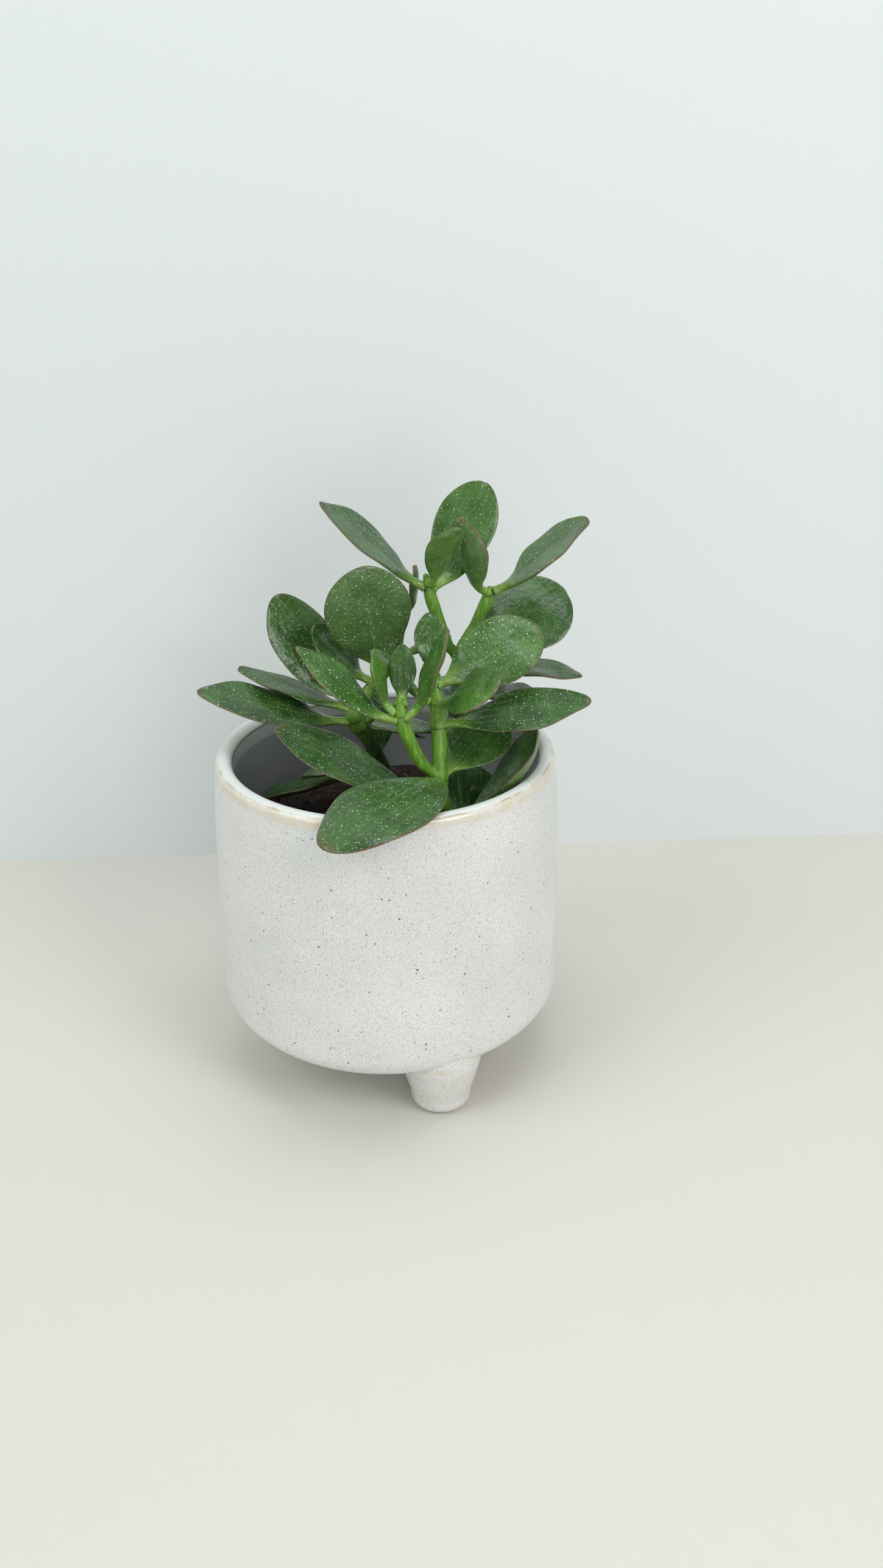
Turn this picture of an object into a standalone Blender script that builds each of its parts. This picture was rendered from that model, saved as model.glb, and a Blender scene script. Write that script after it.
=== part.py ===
# Potted jade plant: footed ceramic pot, soil, five stems and branches, and single leaves.
# Lengths are written in millimetres and turned to metres by MM when the meshes are made.
# The pot's axis is x = y = 0 while building, the floor is z = 0, and the viewer's side is -Y.
import math
import bmesh
import bpy
from mathutils import Vector

MM = 0.001
GAP = 0.3                 # clearance left between two pieces that touch

# Pot: one slip-cast piece with three feet
POT_HEIGHT = 141.0
FOOT_HEIGHT = 25.0
LIP_OUTER_R = 70.0
MID_SWELL = 2.7           # how much wider than the lip the wall is half-way up
BELLY_SWELL = 3.9         # and at its widest, low down
CORNER_R = 11.0
WALL = 7.0
LIP_ROUND = 3.4
FLOOR_THICK = 8.0
INNER_CORNER_R = 9.0
FOOT_INSET = 0.7          # how far the side of a foot stands inside the widest line of the pot
FOOT_FIRST_DEG = 20.0
FOOT_TOP_R = 17.2
FOOT_BOTTOM_R = 12.7
FOOT_EDGE_R = 5.0
POT_SEGMENTS = 56
FOOT_SEGMENTS = 20
WALL_MID_R = LIP_OUTER_R + MID_SWELL
BELLY_R = LIP_OUTER_R + BELLY_SWELL
FOOT_AXIS_R = BELLY_R - FOOT_INSET - FOOT_TOP_R

# Soil
SOIL_DROP = 38.0          # from the rim down to the soil beside the wall
SOIL_RISE = 2.5           # how much higher it lies in the middle

# Plant: the tables below are for an inner rim radius of 63, and the whole plant scales with it.
# Their heights are measured from PLANT_DROP below the rim, where the soil lies.
PLANT_SCALE = (LIP_OUTER_R - WALL) / 63.0
PLANT_DROP = 38.0
PETIOLE_THICK = 3.4
PETIOLE_WIDTH = 5.0
BLADE_THICK = 3.0
TIP_THICK = 1.7

# Each stem: the points of its centre line (x, y, height) and the radius there. The first three
# are in the soil, and their heights are measured from its edge.
STEMS = {
    "stem_left": [
        ((3, 31, -11), 3.1), ((3, 31, -4), 3.1), ((3, 31, 2), 3.1), ((-2, 25, 18), 3.1),
        ((-7, 19, 32), 3.1), ((-12, 13, 44), 3.6), ((-12, 12, 50), 3.2), ((-4, 14, 60), 2.6),
        ((4, 17, 70), 2.7), ((7.5, 20, 82), 1.9), ((8, 22, 90), 1.2)],
    "stem_front": [
        ((24, -29, -11), 2.4), ((24, -29, -5), 2.4), ((24, -29, 1), 2.4), ((24, -29, 17), 2.4),
        ((22, -30, 26), 2.5), ((21, -29, 35), 3.2), ((21, -27, 45), 2.9), ((21, -23, 59), 3.3),
        ((20, -18, 68), 2.3), ((19, -15, 74), 2.5), ((18, -14, 78), 1.2)],
    "stem_back": [
        ((27, 7, -11), 3.3), ((27, 7, -5), 3.3), ((27, 7, 2), 3.3), ((28, 8, 18), 3.3),
        ((30, 10, 45), 3.3), ((33, 14, 71), 3.7), ((38, 15, 84), 2.4), ((43, 15, 95), 2.6),
        ((44, 15, 99), 1.3)],
}
# A branch also has the stem it grows from, which it meets with a flat end at the first point
BRANCHES = {
    "branch_front_left": ("stem_front", [
        ((17, -30, 39), 2.3), ((12, -31, 47), 2.5), ((7, -32, 60), 2.7), ((6, -32, 66), 1.8),
        ((6, -32, 70), 1.2)]),
    "branch_back_left": ("stem_back", [
        ((28.6, 13.4, 72), 2.2), ((25, 13, 82), 2.3), ((20, 12, 97), 2.6), ((19, 12, 102), 1.8),
        ((18, 12, 106), 1.1)]),
}

# Each leaf: stem, height at which it grows, heading in degrees (0 = +X, 90 = +Y,
# away from the viewer; two headings where the blade swings from one to the other), rise at the
# base, in the middle and at the tip, length, width, roll, cup (edges raised), and fullness (0 a
# pointed ellipse, 1 a rounded blade broadest near its tip)
LEAVES = {
    "leaf_back_left_first_west": ("branch_back_left", 100.5, 172, (28, 44, 38), 51, 25, -8, 0.15, 0.3),
    "leaf_back_left_first_east": ("branch_back_left", 100, 45, (20, 57, 50), 49, 25, 35, 0.1, 0.95),
    "leaf_back_left_second_front": ("branch_back_left", 102, 299, (45, 66, 38), 31, 16, 0, 0.2, 0.3),
    "leaf_back_right_first_west": ("stem_back", 97.5, 209, (30, 76, 70), 34, 18, 5, 0.5, 0.2),
    "leaf_back_right_first_east": ("stem_back", 97.5, 357, (25, 43, 38), 45, 29, 10, 0.15, 0.5),
    "leaf_back_fork_east": ("stem_back", 73, 25, (12, 25, 20), 48, 35, 40, 0.05, 1.0),
    "leaf_back_fork_rear": ("stem_back", 71, 75, (0, -18, -30), 46, 26, 0, 0.1, 0.8),
    "leaf_back_upper_east": ("stem_back", 67, 345, (5, 2, -8), 46, 22, 0, 0.15, 0.1),
    "leaf_back_mid_east": ("stem_back", 55, 352, (5, 5, -10), 34, 20, 0, 0.1, 0.6),
    "leaf_back_base_front": ("stem_back", 31, (272, 280), (-12, -38, -46), 40, 40, 0, 0.05, 0.9),
    "leaf_front_base_east": ("stem_front", 20, (-4, 24), (0, 39, 68), 50, 27, -12, 0.4, 0.6),
    "leaf_back_lower_east": ("stem_back", 44, 25, (0, 2, -20), 29, 20, 0, 0.1, 0.6),
    "leaf_back_lower_west": ("stem_back", 40, 195, (10, 18, 0), 34, 20, 0, 0.1, 0.6),
    "leaf_back_lower_rear": ("stem_back", 47, 95, (10, 5, -10), 40, 24, 0, 0.1, 0.6),
    "leaf_front_right_upper_east": ("stem_front", 70, 14, (18, 27, 22), 44.5, 30, 38, 0.05, 1.0),
    "leaf_front_right_upper_rear": ("stem_front", 71, 93, (25, 66, 66), 24, 13, 0, 0.2, 0.6),
    "leaf_front_right_mid_front": ("stem_front", 63.5, 318, (25, 37, 13), 30, 24, 34, 0.05, 1.0),
    "leaf_front_right_mid_west": ("stem_front", 64, 160, (20, 44, 46), 28, 11, 10, 0.4, 0.2),
    "leaf_front_right_lower_east": ("stem_front", 57, 352, (4, 13, 11), 56, 25, 18, 0.15, 0.5),
    "leaf_front_left_lower_west": ("branch_front_left", 62, 176, (10, 45, 42), 46, 17, -20, 0.1, 0.2),
    "leaf_front_left_lower_east": ("branch_front_left", 62, 8, (36, 70, 69), 37, 16, 6, 0.2, 0.3),
    "leaf_front_left_young_west": ("branch_front_left", 64, 156, (30, 78, 80), 25, 11, 0, 0.2, 0.3),
    "leaf_front_left_young_rear": ("branch_front_left", 67.5, 80, (30, 76, 84), 22, 11, 0, 0.2, 0.5),
    "leaf_front_fork_west": ("stem_front", 33.5, (250, 208), (30, 9, -22), 70, 36, -6, -0.04, 0.95),
    "leaf_front_fork_east": ("stem_front", 37, 42, (10, 29, 23), 37, 25, 25, 0.1, 0.6),
    "leaf_front_base_west": ("stem_front", 24, 182, (15, 36, 27), 70, 27, -15, 0.05, 0.9),
    "leaf_left_upper_rear": ("stem_left", 65, 241, (50, 74, 80), 48, 35, 38, 0.0, 0.9),
    "leaf_left_upper_west": ("stem_left", 53.5, 155, (12, 52, 60), 54, 28, -28, 0.05, 0.9),
    "leaf_left_upper_small": ("stem_left", 60.5, 175, (25, 50, 50), 32, 19, -30, 0.1, 0.5),
    "leaf_left_upper_east": ("stem_left", 70, 15, (15, 20, 10), 20, 13, 0, 0.1, 0.6),
    "leaf_left_tip_east": ("stem_left", 88, 350, (40, 82, 88), 19, 11, 0, 0.2, 0.4),
    "leaf_left_node_west": ("stem_left", 44, 188, (5, 20, 17), 62, 26, -15, 0.1, 0.3),
    "leaf_left_node_rear": ("stem_left", 49.5, 165, (10, 18, 18), 49, 18, 0, 0.1, 0.2),
    "leaf_left_node_east": ("stem_left", 44, 30, (0, -28, -40), 32, 19, 0, 0.1, 0.6),
    "leaf_left_base_rear": ("stem_left", 21, 100, (20, 60, 60), 29, 20, 0, 0.1, 0.6),
    "leaf_left_base_west": ("stem_left", 16.5, 198, (0, -6, -8), 53, 22, 14, 0.2, 0.3),
    "leaf_left_base_small": ("stem_left", 24.5, 206, (0, -6, -8), 31, 17, 10, 0.1, 0.5),
}

for old in list(bpy.data.objects):
    bpy.data.objects.remove(old, do_unlink=True)


def material(name, rgb, rough):
    mat = bpy.data.materials.new(name)
    mat.use_nodes = True
    shader = mat.node_tree.nodes["Principled BSDF"]
    shader.inputs["Base Color"].default_value = (*rgb, 1.0)
    shader.inputs["Roughness"].default_value = rough
    return mat


def add_object(name, verts, faces, mat):
    mesh = bpy.data.meshes.new(name)
    mesh.from_pydata([(x * MM, y * MM, z * MM) for x, y, z in verts], [], faces)
    mesh.update()
    bm = bmesh.new()
    bm.from_mesh(mesh)
    bmesh.ops.recalc_face_normals(bm, faces=bm.faces)
    bm.to_mesh(mesh)
    bm.free()
    obj = bpy.data.objects.new(name, mesh)
    bpy.context.scene.collection.objects.link(obj)
    obj.data.materials.append(mat)
    return obj


def skin_rings(rings, tip=None):
    """Side faces between equal rings, a flat cap at the start, a cap or a point at the end."""
    count = len(rings[0])
    verts = [v for ring in rings for v in ring]
    faces = [tuple(reversed(range(count)))]
    for k in range(len(rings) - 1):
        for i in range(count):
            j = (i + 1) % count
            faces.append((k * count + i, k * count + j, (k + 1) * count + j, (k + 1) * count + i))
    last = (len(rings) - 1) * count
    if tip is None:
        faces.append(tuple(last + i for i in range(count)))
    else:
        verts.append(tip)
        for i in range(count):
            faces.append((last + i, last + (i + 1) % count, len(verts) - 1))
    return verts, faces


def turned(profile, segments):
    """A closed body from a profile of (radius, z) that starts and ends on the axis."""
    verts = [(0.0, 0.0, profile[0][1])]
    for r, z in profile[1:-1]:
        for i in range(segments):
            a = 2 * math.pi * i / segments
            verts.append((r * math.cos(a), r * math.sin(a), z))
    verts.append((0.0, 0.0, profile[-1][1]))
    faces = []
    rings = len(profile) - 2
    end = len(verts) - 1
    for i in range(segments):
        j = (i + 1) % segments
        faces.append((0, 1 + j, 1 + i))
        for k in range(rings - 1):
            a = 1 + k * segments
            b = a + segments
            faces.append((a + i, a + j, b + j, b + i))
        a = 1 + (rings - 1) * segments
        faces.append((a + i, a + j, end))
    return verts, faces


def arc(cx, cz, radius, first_deg, last_deg, steps):
    points = []
    for i in range(steps + 1):
        a = math.radians(first_deg + (last_deg - first_deg) * i / steps)
        points.append((cx + radius * math.cos(a), cz + radius * math.sin(a)))
    return points


def boolean(obj, cutter, operation):
    mod = obj.modifiers.new("cut", "BOOLEAN")
    mod.object = cutter
    mod.operation = operation
    mod.solver = "EXACT"
    depsgraph = bpy.context.evaluated_depsgraph_get()
    mesh = bpy.data.meshes.new_from_object(obj.evaluated_get(depsgraph))
    obj.modifiers.clear()
    obj.data = mesh
    bpy.data.objects.remove(cutter, do_unlink=True)


GLAZE = material("glaze_white", (0.80, 0.79, 0.75), 0.3)
SOIL = material("soil_dark", (0.05, 0.035, 0.028), 0.9)
STEM = material("stem_green", (0.30, 0.42, 0.10), 0.5)
LEAF = material("leaf_green", (0.07, 0.20, 0.06), 0.35)

# ---- pot ----
INNER_TOP_R = LIP_OUTER_R - WALL
INNER_MID_R = WALL_MID_R - WALL - 1.0
FLOOR_Z = FOOT_HEIGHT + FLOOR_THICK
FOOT_TOP_Z = FLOOR_Z - 0.5
outer = [(0.0, FOOT_HEIGHT)]
outer += arc(BELLY_R - CORNER_R, FOOT_HEIGHT + CORNER_R, CORNER_R, -90, 0, 5)
outer += [(BELLY_R - 0.2, FOOT_HEIGHT + 32), (WALL_MID_R, FOOT_HEIGHT + 66)]
outer += [(LIP_OUTER_R + 1.0, POT_HEIGHT - 14)]
outer += arc(LIP_OUTER_R - LIP_ROUND, POT_HEIGHT - LIP_ROUND, LIP_ROUND, 0, 90, 4)
inner = arc(INNER_TOP_R + LIP_ROUND, POT_HEIGHT - LIP_ROUND, LIP_ROUND, 90, 180, 4)
inner += [(INNER_TOP_R + 0.5, POT_HEIGHT - 14), (INNER_MID_R, FOOT_HEIGHT + 66)]
inner += arc(INNER_MID_R + 0.5 - INNER_CORNER_R, FLOOR_Z + INNER_CORNER_R, INNER_CORNER_R, 0, -90, 4)
inner += [(0.0, FLOOR_Z)]
pot = add_object("pot", *turned(outer + inner, POT_SEGMENTS), GLAZE)
foot_profile = [(0.0, 0.0), (FOOT_BOTTOM_R - FOOT_EDGE_R, 0.0)]
foot_profile += arc(FOOT_BOTTOM_R - FOOT_EDGE_R, FOOT_EDGE_R, FOOT_EDGE_R, -80, 10, 4)
foot_profile += [(FOOT_TOP_R, FOOT_HEIGHT), (FOOT_TOP_R, FOOT_TOP_Z), (0.0, FOOT_TOP_Z)]
for k in range(3):
    angle = math.radians(FOOT_FIRST_DEG + 120 * k)
    x = FOOT_AXIS_R * math.sin(angle)
    y = -FOOT_AXIS_R * math.cos(angle)
    verts, faces = turned(foot_profile, FOOT_SEGMENTS)
    foot = add_object("foot", [(vx + x, vy + y, vz) for vx, vy, vz in verts], faces, GLAZE)
    boolean(pot, foot, "UNION")

# ---- soil ----
SOIL_Z = POT_HEIGHT - SOIL_DROP
inner_at = sorted((z, r) for r, z in inner)


def pot_inner_radius(z):
    for (z0, r0), (z1, r1) in zip(inner_at, inner_at[1:]):
        if z0 <= z <= z1:
            return r0 + (r1 - r0) * (z - z0) / max(z1 - z0, 1e-6)
    return INNER_TOP_R


soil_profile = [(0.0, FLOOR_Z + GAP)]
soil_profile += [(r - GAP, z + GAP) for r, z in reversed(inner[:-1]) if z < SOIL_Z - 5]
soil_profile += [(pot_inner_radius(SOIL_Z) - GAP, SOIL_Z)]
for share in (0.85, 0.6, 0.3):
    height = SOIL_Z + SOIL_RISE * (1 - share * share)
    soil_profile.append((INNER_TOP_R * share, height))
soil_profile.append((0.0, SOIL_Z + SOIL_RISE))
soil = add_object("soil", *turned(soil_profile, POT_SEGMENTS), SOIL)

# ---- stems ----
def plant_z(height):
    return POT_HEIGHT + (height - PLANT_DROP) * PLANT_SCALE


PATHS = {}
for name, path in list(STEMS.items()) + [(n, path) for n, (parent, path) in BRANCHES.items()]:
    PATHS[name] = [
        ((x * PLANT_SCALE, y * PLANT_SCALE, SOIL_Z + h if h < 5 else plant_z(h)), r * PLANT_SCALE)
        for (x, y, h), r in path]


def smooth_path(path, per_span):
    """Points and radii along a Catmull-Rom curve through the given ones."""
    points = [Vector(p) for p, r in path]
    radii = [r for p, r in path]
    result = []
    for k in range(len(points) - 1):
        p0 = points[max(k - 1, 0)]
        p1 = points[k]
        p2 = points[k + 1]
        p3 = points[min(k + 2, len(points) - 1)]
        for i in range(per_span):
            t = i / per_span
            a = 2 * p1
            b = (p2 - p0) * t
            c = (2 * p0 - 5 * p1 + 4 * p2 - p3) * t * t
            d = (3 * p1 - p0 - 3 * p2 + p3) * t ** 3
            result.append(((a + b + c + d) / 2, radii[k] + (radii[k + 1] - radii[k]) * t))
    result.append((points[-1], radii[-1]))
    return result


def stem_at(name, z):
    """Centre, direction and radius of a stem at a height."""
    line = smooth_path(PATHS[name], 4)
    for (p, r), (q, s) in zip(line, line[1:]):
        if p.z <= z <= q.z:
            t = (z - p.z) / max(q.z - p.z, 1e-6)
            return p.lerp(q, t), (q - p).normalized(), r + (s - r) * t
    return line[-1][0], (line[-1][0] - line[-2][0]).normalized(), line[-1][1]


def round_ring(centre, along, radius, count):
    side = Vector((0, 1, 0)).cross(along).normalized()
    up = along.cross(side)
    ring = []
    for i in range(count):
        a = 2 * math.pi * i / count
        ring.append(tuple(centre + side * radius * math.cos(a) + up * radius * math.sin(a)))
    return ring


for name, path in PATHS.items():
    line = smooth_path(path, 2)
    rings = []
    for k, (p, r) in enumerate(line):
        before = line[max(k - 1, 0)][0]
        after = line[min(k + 1, len(line) - 1)][0]
        along = (after - before).normalized()
        if name in STEMS and k <= 4:
            along = Vector((0, 0, 1))
        if name in BRANCHES and k == 0:
            parent_centre, parent_along, parent_r = stem_at(BRANCHES[name][0], p.z)
            away = (p - parent_centre) - parent_along * (p - parent_centre).dot(parent_along)
            away.normalize()
            along = away
            p = parent_centre + away * (parent_r + GAP)
        rings.append(round_ring(p, along, r, 8))
    end = line[-1][0] + (line[-1][0] - line[-2][0]).normalized() * line[-1][1]
    add_object(name, *skin_rings(rings, tuple(end)), STEM)

# The stems stand in sockets pressed in the soil
for name in STEMS:
    (x, y, z), r = PATHS[name][0]
    socket = round_ring(Vector((x, y, z - GAP)), Vector((0, 0, 1)), (r + GAP) / math.cos(math.pi / 8), 8)
    top = round_ring(Vector((x, y, z + 40)), Vector((0, 0, 1)), (r + GAP) / math.cos(math.pi / 8), 8)
    boolean(soil, add_object("socket", *skin_rings([socket, top]), SOIL), "DIFFERENCE")


# ---- leaves ----
def blade_share(t, full):
    """Half width of the blade as a share of the largest, along the leaf."""
    if t <= 0.0 or t >= 1.0:
        return 0.0
    return math.sin(math.pi * t ** (1.15 + 0.25 * full)) ** (0.85 - 0.33 * full)


def leaf_rings(stem, height, heading, rises, length, width, roll, cup, full):
    centre, stem_along, stem_r = stem_at(stem, plant_z(height))
    length, width, petiole, blade, tip_thick = (
        v * PLANT_SCALE for v in (length, width, PETIOLE_THICK, BLADE_THICK, TIP_THICK))
    first_heading, last_heading = heading if isinstance(heading, tuple) else (heading, heading)

    def heading_at(t):
        return math.radians(first_heading + (last_heading - first_heading) * t)

    def along_at(t):
        h = heading_at(t)
        out = Vector((math.cos(h), math.sin(h), 0))
        if t < 0.25:
            s = t / 0.25
            s = s * s * (3 - 2 * s)
            rise = rises[0] + (rises[1] - rises[0]) * s
        else:
            rise = rises[1] + (rises[2] - rises[1]) * (t - 0.25) / 0.75
        a = math.radians(rise)
        return out * math.cos(a) + Vector((0, 0, 1)) * math.sin(a)

    first = along_at(0.0)
    cosine = abs(first.dot(stem_along))
    sine = max(math.sqrt(1 - cosine * cosine), 0.4)
    point = centre + first * ((stem_r + GAP + 0.5 * petiole * cosine) / sine)
    stations = (0.0, 0.07, 0.16, 0.28, 0.42, 0.56, 0.70, 0.82, 0.91, 0.97)
    rings = []
    last_t = 0.0
    for t in stations:
        for i in range(4):
            middle = last_t + (t - last_t) * (i + 0.5) / 4
            point = point + along_at(middle) * (length * (t - last_t) / 4)
        last_t = t
        along = along_at(t)
        turn = math.radians(roll) * min(1.0, t / 0.3)
        h = heading_at(t)
        side0 = Vector((-math.sin(h), math.cos(h), 0))
        side = side0 * math.cos(turn) + along.cross(side0) * math.sin(turn)
        normal = along.cross(side)
        share = blade_share(t, full)
        half = max(0.5 * width * share, 0.5 * PETIOLE_WIDTH * PLANT_SCALE * max(0.0, 1 - t / 0.4))
        blend = min(1.0, t / 0.25)
        thick = petiole + (blade - petiole) * blend
        if t > 0.7:
            thick = blade + (tip_thick - blade) * (t - 0.7) / 0.3
        rings.append([])
        shape = ((1.0, 0.0), (0.62, 0.42), (0.0, 0.5), (-0.62, 0.42),
                 (-1.0, 0.0), (-0.62, -0.42), (0.0, -0.5), (0.62, -0.42))
        for across, lift in shape:
            raise_edge = cup * half * (across * across - 0.35) * blend
            offset = side * half * across + normal * (lift * thick + raise_edge)
            rings[-1].append(tuple(point + offset))
    for i in range(4):
        point = point + along_at(1.0) * (length * 0.03 / 4)
    return rings, tuple(point)


for name, values in LEAVES.items():
    rings, tip = leaf_rings(*values)
    add_object(name, *skin_rings(rings, tip), LEAF)

# ---- centre the whole over the origin ----
bpy.context.view_layer.update()
made = [o for o in bpy.data.objects if o.type == "MESH"]
xs = [v.co.x for o in made for v in o.data.vertices]
ys = [v.co.y for o in made for v in o.data.vertices]
shift = Vector((-(min(xs) + max(xs)) / 2, -(min(ys) + max(ys)) / 2, 0))
for obj in made:
    for vertex in obj.data.vertices:
        vertex.co += shift
    obj.data.update()
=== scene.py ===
import math

import bmesh
import bpy
import numpy as np
from mathutils import Matrix, Vector


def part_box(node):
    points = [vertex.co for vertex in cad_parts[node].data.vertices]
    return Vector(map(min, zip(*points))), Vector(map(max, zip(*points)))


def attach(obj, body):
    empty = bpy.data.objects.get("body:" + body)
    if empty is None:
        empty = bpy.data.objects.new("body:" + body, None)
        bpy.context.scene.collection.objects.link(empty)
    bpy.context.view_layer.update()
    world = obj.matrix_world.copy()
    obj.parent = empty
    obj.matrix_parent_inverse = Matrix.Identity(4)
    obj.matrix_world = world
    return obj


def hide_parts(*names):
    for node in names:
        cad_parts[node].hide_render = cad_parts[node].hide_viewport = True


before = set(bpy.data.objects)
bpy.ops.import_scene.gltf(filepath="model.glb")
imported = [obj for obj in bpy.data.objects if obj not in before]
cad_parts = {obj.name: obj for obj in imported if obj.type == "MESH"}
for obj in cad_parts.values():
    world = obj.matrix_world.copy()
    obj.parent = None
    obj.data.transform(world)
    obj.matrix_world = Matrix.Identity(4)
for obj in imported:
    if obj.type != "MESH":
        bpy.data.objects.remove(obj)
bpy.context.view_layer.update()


# ---------------------------------------------------------------- pot
# A slip-cast stoneware pot on three short conical feet, fired as one piece. It is dipped in an
# off-white glaze that breaks to beige and brown on its rounded lip, and below a glazed band the
# inside is bare grey clay.

def linear(code):
    """An sRGB hex colour as linear RGBA: c/12.92 below 0.04045, ((c+0.055)/1.055)^2.4 above."""
    c = np.array([int(code[i:i + 2], 16) for i in (1, 3, 5)]) / 255
    return (*np.where(c <= 0.04045, c / 12.92, ((c + 0.055) / 1.055) ** 2.4), 1.0)


def new_material(name):
    """A material, its node tree and its shader."""
    mat = bpy.data.materials.new(name)
    mat.use_nodes = True
    return mat, mat.node_tree, mat.node_tree.nodes["Principled BSDF"]


def node(tree, kind, links=(), **settings):
    """Adds a node. Settings name its properties, or its inputs with underscores for spaces; links
    are pairs of an input and the output that it reads."""
    made = tree.nodes.new(kind)
    for key, value in settings.items():
        if hasattr(made, key):
            setattr(made, key, value)
        else:
            made.inputs[key.replace("_", " ")].default_value = value
    for where, source in links:
        tree.links.new(source, made.inputs[where])
    return made


def blend(tree, amount, low, high):
    """A colour that goes from low to high as amount goes from 0 to 1."""
    made = node(tree, "ShaderNodeMix", data_type="RGBA")
    for index, value in ((0, amount), (6, low), (7, high)):
        if isinstance(value, (int, float, tuple)):
            made.inputs[index].default_value = value
        else:
            tree.links.new(value, made.inputs[index])
    return made.outputs[2]


def ramp(tree, value, low, high, start=0.0, end=1.0):
    """A number that goes smoothly from start to end while value goes from low to high."""
    made = node(tree, "ShaderNodeMapRange", [(0, value)], interpolation_type="SMOOTHSTEP")
    for index, limit in ((1, low), (2, high), (3, start), (4, end)):
        made.inputs[index].default_value = limit
    return made.outputs[0]


def sums(tree, operation, first, second=0.0):
    """One step of arithmetic on two numbers."""
    made = node(tree, "ShaderNodeMath", operation=operation)
    for index, value in ((0, first), (1, second)):
        if isinstance(value, (int, float)):
            made.inputs[index].default_value = value
        else:
            tree.links.new(value, made.inputs[index])
    return made.outputs[0]


def times(tree, *factors):
    """The product of two or more numbers."""
    total = factors[0]
    for factor in factors[1:]:
        total = sums(tree, "MULTIPLY", total, factor)
    return total


def noise(tree, place, scale, detail, rough=0.5):
    """Soft random clouds from 0 to 1, scale of them to a metre."""
    made = node(tree, "ShaderNodeTexNoise", [("Vector", place)],
                Scale=scale, Detail=detail, Roughness=rough)
    return made.outputs["Fac"]


def tint(tree, amount, colour, code):
    """The colour, turned towards a hex colour by amount."""
    return blend(tree, amount, colour, linear(code))


def bump(tree, height, strength, distance, under=None):
    """A normal bent by a height pattern, on top of another where one is given."""
    links = [("Height", height)] + ([("Normal", under)] if under else [])
    return node(tree, "ShaderNodeBump", links, Strength=strength, Distance=distance).outputs[0]


def closed_surface(name, rows, start=None, end=None):
    """A closed body from rows of points that each run once round it. Quads join row k to row k+1,
    and each open end is closed by a fan to its pole, or to the row's centre where none is given."""
    rows = np.asarray(rows, float)
    count, around = rows.shape[:2]
    start = rows[0].mean(0) if start is None else start
    end = rows[-1].mean(0) if end is None else end
    points = np.vstack([rows.reshape(-1, 3), [start], [end]])
    k, i = np.meshgrid(np.arange(count - 1), np.arange(around), indexing="ij")
    j = (i + 1) % around
    low, high = k * around, (k + 1) * around
    quads = np.stack([low + i, low + j, high + j, high + i], -1)
    i = np.arange(around)
    j = (i + 1) % around
    last = (count - 1) * around
    fans = np.vstack([np.stack([j, i, 0 * i + count * around], -1),
                      np.stack([last + i, last + j, 0 * i + count * around + 1], -1)])
    mesh = bpy.data.meshes.new(name)
    mesh.from_pydata(points.tolist(), [], quads.reshape(-1, 4).tolist() + fans.tolist())
    whole = bmesh.new()
    whole.from_mesh(mesh)
    bmesh.ops.recalc_face_normals(whole, faces=whole.faces)
    whole.to_mesh(mesh)
    whole.free()
    mesh.shade_smooth()
    piece = bpy.data.objects.new(name, mesh)
    bpy.context.scene.collection.objects.link(piece)
    return piece


def arc(cx, cz, radius, first, last, steps):
    """Points on a circle in the (radius, height) plane, from one angle to another in degrees."""
    a = np.radians(np.linspace(first, last, steps))
    return np.stack([cx + radius * np.cos(a), cz + radius * np.sin(a)], 1)


def turned(name, profile, centre, around=240):
    """A profile of (radius, height) carried once round the upright axis through centre."""
    a = np.linspace(0, 2 * np.pi, around, endpoint=False)
    r, z = profile[:, :1], profile[:, 1:]
    rows = np.stack([centre[0] + r * np.cos(a), centre[1] + r * np.sin(a), z + 0 * a], -1)
    return closed_surface(name, rows[1:-1], rows[0].mean(0), rows[-1].mean(0))


pot_low, pot_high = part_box("pot")
axis = ((pot_low + pot_high) / 2).xy
belly = (pot_high.x - pot_low.x) / 2
height = pot_high.z
foot_height, corner, lip_outer, wall, lip_round = 0.025, 0.011, 0.070, 0.007, 0.0034
inner_top, inner_floor, inner_corner = lip_outer - wall, 0.033, 0.009
foot_axis, foot_bearings, foot_edge = 0.056, (20, 140, 260), 0.005


def flow(known, values, t):
    """Values at t on a smooth curve through known ones: each span is a cubic that has the known
    slopes at its ends."""
    values = values.reshape(len(known), -1)
    slopes = np.gradient(values, known, axis=0)
    k = np.clip(np.searchsorted(known, t) - 1, 0, len(known) - 2)
    span = (known[k + 1] - known[k])[:, None]
    s = ((t - known[k]) / span[:, 0])[:, None]
    a = (1 + 2 * s) * (1 - s) ** 2 * values[k] + s * (1 - s) ** 2 * span * slopes[k]
    b = s ** 2 * (3 - 2 * s) * values[k + 1] - s ** 2 * (1 - s) * span * slopes[k + 1]
    return a + b


def through(*points):
    """Points on a smooth curve through a few given ones."""
    known = np.array(points)
    t = np.append(0, np.cumsum(np.linalg.norm(np.diff(known, axis=0), axis=1)))
    return flow(t, known, np.linspace(0, t[-1], 8 * len(known)))


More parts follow.
